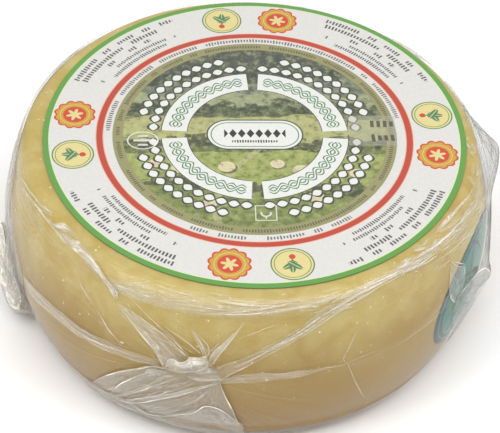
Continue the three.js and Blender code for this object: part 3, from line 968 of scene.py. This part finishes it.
frontCreases = [
    # how white, width, lift off the wheel in mm, points, and how blunt the ends are
    # the outlines of the leaves under the knot and the wrinkles in them
    (1.1, 0.65, 1, [(-106, 45), (-109.3, 44.5), (-113, 40.2), (-117.5, 34.4), (-120, 30), (-124.2, 21.3),
        (-129, 8.6)]),
    (1.1, 0.65, 1.6, [(-107, 44.4), (-111.4, 40), (-115, 32.7), (-118.2, 25.4), (-122.3, 11.5)]),
    (1.1, 0.65, 1.6, [(-95, 42.9), (-98.3, 39.3), (-102.7, 33.1), (-108, 26.3), (-113.3, 18.1),
        (-118, 12.4), (-122.3, 11.5)]),
    (1.1, 0.65, 1, [(-94.4, 43.6), (-93, 35.1), (-91.4, 26.7), (-89.9, 15.4)]),
    (1.1, 0.65, 1.3, [(-110.7, 7.7), (-104.5, 16.6), (-100.2, 21.7), (-97.8, 27.4), (-95.4, 27.9),
        (-92.9, 24.7), (-89.4, 16)]),
    (0.8, 0.6, 1.3, [(-130, 8.4), (-122.3, 11.3), (-116.3, 11.6), (-110.7, 7.9)]),
    (0.7, 0.9, 1.7, [(-104, 42.5), (-108, 36), (-112, 29), (-117, 20), (-121, 13)]),
    (0.6, 0.8, 1.7, [(-100, 41.5), (-105, 34.4), (-111, 25), (-117.4, 15.4)]),
    (0.6, 0.6, 1.7, [(-98, 41), (-103, 35), (-108, 29), (-113, 22)]),
    (0.6, 0.6, 1, [(-112, 40), (-116, 31), (-119.4, 22), (-123.6, 12.6)]),
    (0.4, 0.55, 0.3, [(-117.8, 71.9), (-114.4, 68.9), (-110.8, 65.6), (-106.8, 61), (-103.1, 57.4),
        (-99.6, 54.8)]),
    (0.3, 0.55, 0.3, [(-115.3, 69.6), (-110.2, 64.9), (-105.8, 61), (-103.6, 57.2)]),
    (0.6, 0.8, 0.3, [(-131, 66), (-129.1, 63.7), (-126.8, 61.4), (-123.5, 57.4), (-121.2, 53.3),
        (-119, 50.9), (-117.2, 47.6)]),
    (0.5, 0.55, 0.3, [(-170, 72), (-164, 74.6), (-158, 76), (-152.8, 76.9)]),
    # the long painted highlight along the left shoulder, its branch and the white point where it ends
    (0.8, 0.6, 0.3, [(-166, 71.6), (-159.6, 74.2), (-152.8, 75.8), (-146, 76.1), (-140, 76.2)]),
    (0.55, 2.6, 0.3, [(-145, 76.1), (-139.5, 76.6), (-134, 76.6), (-129, 75.9), (-124.6, 73.8),
        (-121.4, 70)], 0.8),
    (0.7, 0.8, 0.3, [(-141, 76.6), (-135, 77), (-129, 76.4), (-124.4, 74.2), (-120.6, 70.6),
        (-120.2, 67.8)]),
    (0.6, 1.4, 0.3, [(-145.3, 76.3), (-143.1, 77.4), (-139.7, 77.9), (-136, 78)], 0.8),
    (0.8, 2.4, 0.3, [(-126, 74.2), (-123, 71.8), (-121.3, 69.6), (-120.4, 67)], 1),
    (0.9, 0.6, 1, [(-113, 62.6), (-109, 62.2), (-105.8, 60.3), (-103.5, 57.4), (-100.8, 53.4)]),
    (0.7, 0.5, 0.8, [(-109, 65.6), (-106, 63.5), (-102.6, 60.8), (-99.8, 57.5), (-98.7, 55.9)]),
    (0.9, 0.5, 0.9, [(-100.9, 65.8), (-98.8, 60.5), (-97.8, 56.2)]),
    (0.7, 0.5, 0.9, [(-100.8, 65.8), (-97.7, 61.1), (-97, 57.9), (-97.1, 55.8)]),
    (0.35, 0.55, 0.3, [(-90.4, 64.2), (-87.9, 66.2), (-84, 69), (-81.4, 70.2)]),
    (0.35, 0.5, 0.3, [(-66, 46.8), (-66.8, 50), (-65.4, 54.9), (-63, 62.9)]),
    (0.35, 0.5, 0.3, [(-66, 47), (-65.6, 45.7), (-63.5, 34.8), (-60.8, 23.5), (-58.6, 16.3)]),
    (0.3, 0.5, 0.3, [(-66.5, 47), (-61.1, 48), (-57.1, 48)]),
    (0.5, 0.55, 0.3, [(-35.8, 76.8), (-29.6, 75.3), (-21.4, 69.4)]),
    (0.7, 0.5, 0.7, [(-33.4, 66.3), (-30.6, 62), (-28, 57.8)]),
    (0.9, 0.7, 0.7, [(-28, 57.8), (-28.3, 53.7), (-30.4, 49), (-32.6, 44.2)]),
    (0.7, 0.5, 0.7, [(-33.3, 63.5), (-35.6, 54), (-34.6, 48), (-32.6, 44.2)]),
    (0.25, 0.5, 0.3, [(-46, 49.6), (-41.5, 50), (-37.7, 50.6), (-34.3, 50.6)]),
    (0.6, 0.5, 0.7, [(-37.6, 33), (-35, 39), (-32.6, 44.2)]),
    (0.35, 0.55, 0.3, [(-150.1, 41.1), (-146, 41.4), (-140, 43.4), (-131, 44.6), (-122, 45), (-112, 46.2)]),
    (0.35, 0.55, 0.3, [(-156, 54), (-152, 49), (-146, 46.4), (-140.8, 46)]),
    (0.5, 0.55, 0.3, [(-11.4, 76.2), (-16.9, 76.7), (-20.9, 77.4), (-27.9, 77.8), (-34.1, 77.9),
        (-43.4, 77.9)]),
    (0.6, 0.8, 0.3, [(-15, 72.3), (-22.3, 74.8), (-27.8, 75.6), (-35, 76.3), (-42.2, 77), (-47.3, 77.4)]),
    (0.45, 0.55, 0.3, [(-13.1, 61.7), (-19.7, 65.5), (-26.3, 68.2), (-33.5, 70.1), (-40.8, 72.4),
        (-50.3, 75.3)]),
    (0.8, 1.1, 0.3, [(-37.4, 73.6), (-42.1, 74.5), (-45.6, 75.6), (-49.3, 76)]),
    (0.3, 0.5, 0.3, [(-46.6, 50.3), (-42.6, 51.5), (-37.4, 51.9), (-34.1, 52.3)]),
    (0.5, 0.7, 0.3, [(-33, 11.6), (-34.5, 18), (-33.4, 24.8), (-32.3, 31.3), (-30.5, 36)]),
    (0.35, 0.5, 0.3, [(-36.9, 21.7), (-35.5, 26), (-34, 33), (-31, 38)]),
    # the edge of the flap at the foot of the right ear, and one that meets it
    (1.3, 0.8, 0.3, [(-32.7, 44.4, 0.8), (-30.4, 47.3, 1.1), (-26.5, 47.5, 1.5), (-21.5, 44.6, 1.4),
        (-17, 39.4, 2.2), (-14, 33.6, 3.7), (-12, 27.8, 5.3)]),
    (0.4, 0.5, 0.3, [(-56, 45.4), (-48, 46.4), (-41, 47.2), (-36, 48.2)]),
]


frontGlints = [
    # how many, their spread and reach in mm, how white, and the path they lie along
    (16, 0.5, 12, 0.45, [(-158, 74), (-148, 76.4), (-138, 76.8), (-130, 76), (-123, 72), (-120, 69)]),
    (14, 1.2, 14, 0.35, [(-122, 72), (-112, 75.4), (-98, 77), (-84, 76.6), (-70, 76)]),
    (46, 1.1, 11, 0.5, [(-74, 74.4), (-64, 75), (-52, 76), (-40, 76.4), (-28, 75.6), (-14, 72)]),
    (22, 2.4, 9, 0.4, [(-40, 72), (-28, 70), (-16, 66), (-8, 60)]),
    (20, 0.8, 7, 0.45, [(-14, 76), (-6, 76.6), (4, 76.4), (14, 76)]),
    (14, 2, 10, 0.45, [(-118, 66), (-112, 58), (-106, 50)]),
    (8, 1.4, 7, 0.5, [(-96, 50), (-96, 56), (-93, 64)]),
    (14, 1.6, 12, 0.4, [(-150, 43), (-138, 44), (-124, 45), (-112, 46)]),
    (20, 3, 14, 0.5, [(-124, 14), (-116, 22), (-108, 32), (-100, 42)]),
]


def addFoldedFilm(name, seed, folds=(), creases=(), glints=()):
    sheet = newFilm()
    for i, fold in enumerate(folds):
        addFold(sheet, seed=seed + i, **fold)
    for i, (haze, width, lift, points, *ends) in enumerate(creases):
        blunt = ends[0] if ends else 0.4
        addCrease(sheet, points, width, haze=haze, lift=lift, blunt=blunt, seed=seed + i)
    for i, (count, spread, reach, haze, path) in enumerate(glints):
        addGlints(sheet, path, count, spread, reach, haze, seed=seed + i)
    addFilmPiece(name, sheet)


frontKnot = {
    "folds": [
        dict(near=[(-106.6, 46.5, 1.1), (-105.7, 51, 1.3), (-104.5, 51.6, 1.3), (-103.3, 50.7, 1.3),
             (-101.9, 51.9, 1.3), (-101.1, 54.2, 1.3), (-98.9, 54.9, 1.3), (-97.3, 56.4, 1.2)],
             far=[(-106.8, 44.2, 0.9), (-105, 44.6, 1.1), (-103.4, 44.9, 1.2), (-101.8, 45.8, 1.2),
             (-100.1, 47, 1.2), (-98.5, 48.4, 1.2), (-97.2, 49.6, 1.1), (-96.3, 51.2, 1)], haze=0.62,
             edge=(0.8, 0.5), belly=0.7, waves=0.5, run=0.35, along=70, across=24, threads=3),
        # what joins it to the sheets below, greyed a little with painted shade
        dict(near=[(-106.2, 45.2), (-103.4, 46), (-100.1, 48), (-97.2, 50.4), (-95.6, 50)],
             far=[(-104, 43.2), (-101.2, 42.6), (-98.2, 42.4), (-95.6, 43), (-93.6, 44.8)], haze=0.36,
             edge=(0, 0.1), lip=0, lift=0.9, waves=0.3, run=0.4, shade=0.15, along=50, across=18),
    ],
    "creases": [
        (1, 0.7, 0.3, [(-106.5, 46.5, 1.7), (-105.6, 51.2, 1.8), (-104.5, 51.7, 1.8), (-103.3, 50.8, 1.8),
            (-101.9, 52.1, 1.8), (-101.1, 54.4, 1.6)]),
        (1, 0.7, 0.3, [(-101.2, 54.1, 1.7), (-100, 54.3, 1.8), (-98.8, 54.9, 1.7), (-97.6, 56.3, 1.4)]),
        (1, 0.7, 0.3, [(-100.9, 54, 1.9), (-100.6, 51, 2.2), (-100.4, 47.7, 1.6)]),
        (1, 0.7, 0.3, [(-100.3, 47.5, 1.6), (-98.7, 49.2, 1.8), (-97.5, 50.8, 1.6), (-96.9, 53.2, 1.4)]),
        (1, 0.7, 0.3, [(-109, 56.3, 1.3), (-108.3, 55, 1.4), (-108.3, 53.2, 1.3)]),
    ],
}
backKnot = {
    "folds": [
        dict(near=[(76, 33.6, 1), (77.6, 38.4, 1.3), (80.4, 38.2, 1.3), (82.6, 41.6, 1.3),
             (85.4, 38.8, 1.3), (88.4, 35.2, 1)],
             far=[(77, 31, 1), (79.4, 30.4, 1.2), (81.6, 27.8, 1.2), (84.4, 29.4, 1.2), (86.4, 31, 1.1),
             (88.2, 32.6, 1)], haze=0.62, edge=(0.7, 0.6), belly=0.7, waves=0.5, run=0.35, along=70,
             across=24, threads=3),
    ],
    "creases": [
        (1, 0.7, 0.3, [(76.4, 34.6, 1.5), (77.6, 38.4, 1.8), (80.4, 38.2, 1.8), (82.6, 41.6, 1.6)]),
        (1, 0.7, 0.3, [(82.8, 41, 1.7), (82.4, 35, 2.1), (81.6, 28.6, 1.6)]),
        (1, 0.7, 0.3, [(82.6, 41.4, 1.7), (85.4, 38.8, 1.8), (88.2, 35.4, 1.4)]),
    ],
}


ears = {
    # the free edge from top to foot with how far it stands out, the lines where its two sides meet the wheel,
    # and its inner fold lines
    "leftEar": {
        "edge": [(-182, 75, 0.4), (-180, 68, 0.9), (-177.5, 62, 0.7), (-175, 51.7, 0.7), (-172, 33.7, 1.3),
            (-170, 20.7, 5), (-168.5, 13.2, 8.8), (-167, 9.4, 9.6), (-165, 7.4, 9.3), (-163, 6.6, 8.6),
            (-160.5, 6.8, 5.4), (-158, 7.4, 1.5)],
        "roots": [[(-178, 76), (-173, 70), (-169.5, 66), (-165.4, 59), (-161.1, 54), (-156.3, 48),
            (-152.5, 42), (-152.8, 34), (-154.3, 24), (-155.6, 14), (-157, 8)], [(-188, 75), (-190, 62),
            (-189, 48), (-190, 36), (-188, 24), (-184, 12), (-178, 6), (-168, 3.5)]],
        "lines": [[(-168, 60, 0.5), (-163, 50, 0.6), (-160, 40, 1.2), (-163, 26, 4), (-166, 16, 7)],
            [(-164, 56, 0.5), (-157, 46, 0.6), (-154, 36, 1), (-158, 24, 3), (-161, 14, 6)],
            [(-172, 50, 0.8), (-169, 36, 1.6), (-167, 24, 4.5), (-166.5, 14, 8)]],
        "haze": 0.5, "fade": 0.85, "shade": 0.08, "threads": 5,
    },
    "rightEar": {
        "edge": [(24, 73, 0.3), (20, 69, 1), (15, 67.6, 2.2), (12, 66.2, 4.7), (9, 64.9, 7.3),
            (7, 63.8, 7.5), (4.5, 61, 5.8), (2.5, 58.2, 3.8), (0, 53.8, 1.8), (-2, 48.7, 1.4),
            (-5.5, 39.3, 1.6), (-8.5, 30.3, 3), (-9.5, 27.3, 4.6), (-10.5, 24.7, 5.2), (-12.5, 19, 2.7),
            (-16, 14.3, 2.2), (-18.5, 11.8, 1.8), (-21, 10.4, 1.1), (-24, 9.5, 0.5)],
        "roots": [[(16, 77), (6, 76), (-3, 75), (-7.2, 66.3), (-9, 62), (-6.5, 52), (-8, 44), (-11, 38),
            (-16, 30), (-21, 24), (-25, 17), (-27, 9)], [(30, 74), (31, 64), (27, 52), (20, 44), (12, 36),
            (6, 26), (2, 18), (-6, 10), (-16, 5)]],
        "lines": [[(12, 75.6, 0.5), (10, 71, 3), (8, 66, 6.2)], [(12, 75.6, 0.5), (8, 70, 2.4),
            (4, 61, 4.6)], [(12, 75.6, 0.5), (5, 69, 1.6), (0, 56, 1.6)], [(7, 63.8, 7.5), (2, 62, 3.4),
            (-3, 60, 0.8)], [(4, 74, 0.5), (-2, 60, 0.9), (-4, 48, 1.2), (-8, 34, 2.2)]],
        # painted shade greys the right ear and darkens its lines
        "haze": 0.2, "fade": 0.7, "shade": 0.95, "threads": 2,
    },
}
crumples = [
    # scrunched film: place, size round the wheel, up and out in mm
    ((-167.0, 17.5, 5.0), (13.0, 10.5, 4.0)),
    ((-162.5, 13.0, 4.0), (9.0, 7.0, 4.2)),
    ((-168.5, 29.0, 2.0), (11.0, 12.0, 2.2)),
]


def addEars():
    for seed, (name, ear) in enumerate(ears.items(), 40):
        sheet = newFilm()
        for i, root in enumerate(ear["roots"]):
            addFold(sheet, ear["edge"], lifted(root, 0.3), haze=ear["haze"], fade=ear["fade"],
                    edge=(0.5, 0.1), shade=ear["shade"], waves=0.5, run=0.6, along=100, across=26,
                    seed=seed * 3 + i, threads=ear["threads"])
        addCrease(sheet, ear["edge"], width=0.8, haze=0.7, seed=seed, shade=ear["shade"], steps=120)
        for i, points in enumerate(ear["lines"]):
            addCrease(sheet, points, width=0.7, haze=0.8, seed=seed + i, shade=ear["shade"])
        addFilmPiece(name, sheet)


def steadyNoise(place):
    # a noise of its own for each way, since noise.noise_vector comes out otherwise in each run
    return Vector([noise.noise(place + Vector((shift, 0, 0))) for shift in (0.0, 17.3, 41.9)])


def addCrumples():
    sheet = newFilm()
    bm, hazeLayer, wayLayer = sheet
    for seed, (place, size) in enumerate(crumples):
        for v in bmesh.ops.create_icosphere(bm, subdivisions=6, radius=1.0)["verts"]:
            # flat facets that lean every way, with sharp folds between them
            where = v.co * 0.85 + Vector((seed * 5.3, 0, 0))
            where += 0.25 * steadyNoise(where * 1.5)
            reach, cells = noise.voronoi(where)
            border = math.exp(-((reach[1] - reach[0]) / 0.1) ** 2)
            lean = noise.cell_vector(cells[0] * 7.1 + Vector((3.3, 0.7, 0.2))) - Vector((0.5, 0.5, 0.5))
            facet = lean.dot(where - cells[0]) * 0.6
            spread = v.co * (0.86 + 0.35 * facet + 0.1 * border)
            round_, up, out = (spread[i] * size[i] for i in range(3))
            azimuth = place[0] + math.degrees(round_ / wheel["radius"])
            v.co = onWheel(azimuth, max(place[1] + up, 0.5), place[2] + out)
            # the haze is whitest along the sharp folds, a painted highlight on them
            v[hazeLayer] = min(max(0.36 + 0.5 * facet + 0.35 * border, 0.15), 0.85)
            v[wayLayer] = (round_ * 2, up * 2, 0)
    addFilmPiece("crumpledFilm", sheet)


backBands = [
    dict(near=[(32, 76), (46, 74.6), (60, 70), (70, 61), (76, 49), (80, 38)],
         far=[(32, 75), (46, 71), (58, 65.4), (67, 56), (73, 45), (78.5, 35)], haze=0.13, edge=(0.45, 0.45),
         threads=6),
    dict(near=[(84, 38), (90, 49), (100, 59), (113, 66.6), (128, 70.4), (146, 74), (166, 76)],
         far=[(86, 34), (93, 44), (104, 54), (116, 61.6), (130, 66), (147, 71), (166, 75)], haze=0.13,
         edge=(0.45, 0.45), threads=7),
    dict(near=[(38, 33), (48, 35.6), (60, 37.4), (70, 37), (79, 35)],
         far=[(38, 31.6), (48, 31), (60, 32), (70, 31.6), (79, 31)], haze=0.13, edge=(0.35, 0.35),
         threads=5),
    dict(near=[(85, 36), (96, 39.4), (110, 40), (126, 42), (142, 47)],
         far=[(85, 32), (96, 33.6), (110, 35), (126, 39), (142, 46)], haze=0.16, edge=(0.4, 0.4),
         threads=4),
    dict(near=[(83.5, 40), (85, 50), (88, 60), (93, 69)],
         far=[(81, 39), (83, 50), (87, 60.6), (93.6, 69.2)], haze=0.16, edge=(0.5, 0.5), threads=2),
    dict(near=[(128, 77), (142, 76.6), (156, 76.8), (170, 76.4), (180, 75)],
         far=[(128, 75.6), (142, 74), (156, 73.8), (170, 74.2), (180, 74)], haze=0.16, edge=(0.35, 0.35),
         threads=6),
]
backSheets = [
    # the first two are greyed a little with painted shade
    dict(near=[(78, 33), (74, 27), (70, 20), (66, 12), (64, 6)],
         far=[(83, 31), (82.6, 24), (81, 17), (79, 10), (76, 5)], haze=0.3, shade=0.25, edge=(0.35, 0.35),
         lift=0.9, waves=0.5, run=0.8, along=80, across=22, threads=10),
    dict(near=[(81, 33), (84, 26), (87.6, 18), (91, 11), (93, 5)],
         far=[(87, 33), (92, 27), (98, 20), (103, 13), (106, 6)], haze=0.3, shade=0.25, edge=(0.35, 0.35),
         lift=1.3, waves=0.6, run=0.8, along=80, across=22, threads=10),
    dict(near=[(58, 12), (68, 14), (80, 17), (90, 14), (100, 15), (110, 10)],
         far=[(58, 4), (68, 3.2), (80, 3), (90, 3), (100, 3.2), (110, 4)], haze=0.3, edge=(0.5, 0.5),
         lift=1, waves=0.6, run=0.6, along=80, across=16, threads=5),
]
backCreases = [
    (0.4, 0.55, 0.3, [(50, 60), (58, 55), (66, 48), (74, 39)]),
    (0.35, 0.55, 0.3, [(70, 72), (73, 62), (77, 50), (80, 40)]),
    (0.4, 0.55, 0.3, [(100, 74), (97, 64), (92, 52), (86, 40)]),
    (0.4, 0.55, 0.3, [(120, 52), (108, 47), (96, 41), (88, 36)]),
    (0.3, 0.5, 0.3, [(150, 60), (140, 56), (128, 55), (116, 58)]),
    (0.35, 0.5, 0.3, [(38, 32), (36, 42), (33, 54), (34, 66)]),
    (0.3, 0.5, 0.3, [(38, 31), (34, 22), (33, 12)]),
    (0.35, 0.5, 0.3, [(142, 46), (150, 44), (160, 47), (170, 44)]),
    (0.3, 0.5, 0.3, [(142, 46), (146, 34), (148, 20)]),
]


addCamera()
addStudio()
addFloor()
print("studio ready")
addCheese()
print("cheese ready")
dressLabel()
print("label ready")
addFilmSkin()
addFoldedFilm("frontBands", 10, frontBands)
addFoldedFilm("frontSheets", 11, frontSheets)
addFoldedFilm("frontCreases", 0, creases=frontCreases, glints=frontGlints)
addFoldedFilm("frontKnot", 31, **frontKnot)
addEars()
addCrumples()
addFoldedFilm("backBands", 69, backBands)
addFoldedFilm("backSheets", 70, backSheets)
addFoldedFilm("backCreases", 80, creases=backCreases)
addFoldedFilm("backKnot", 37, **backKnot)
print("film ready")
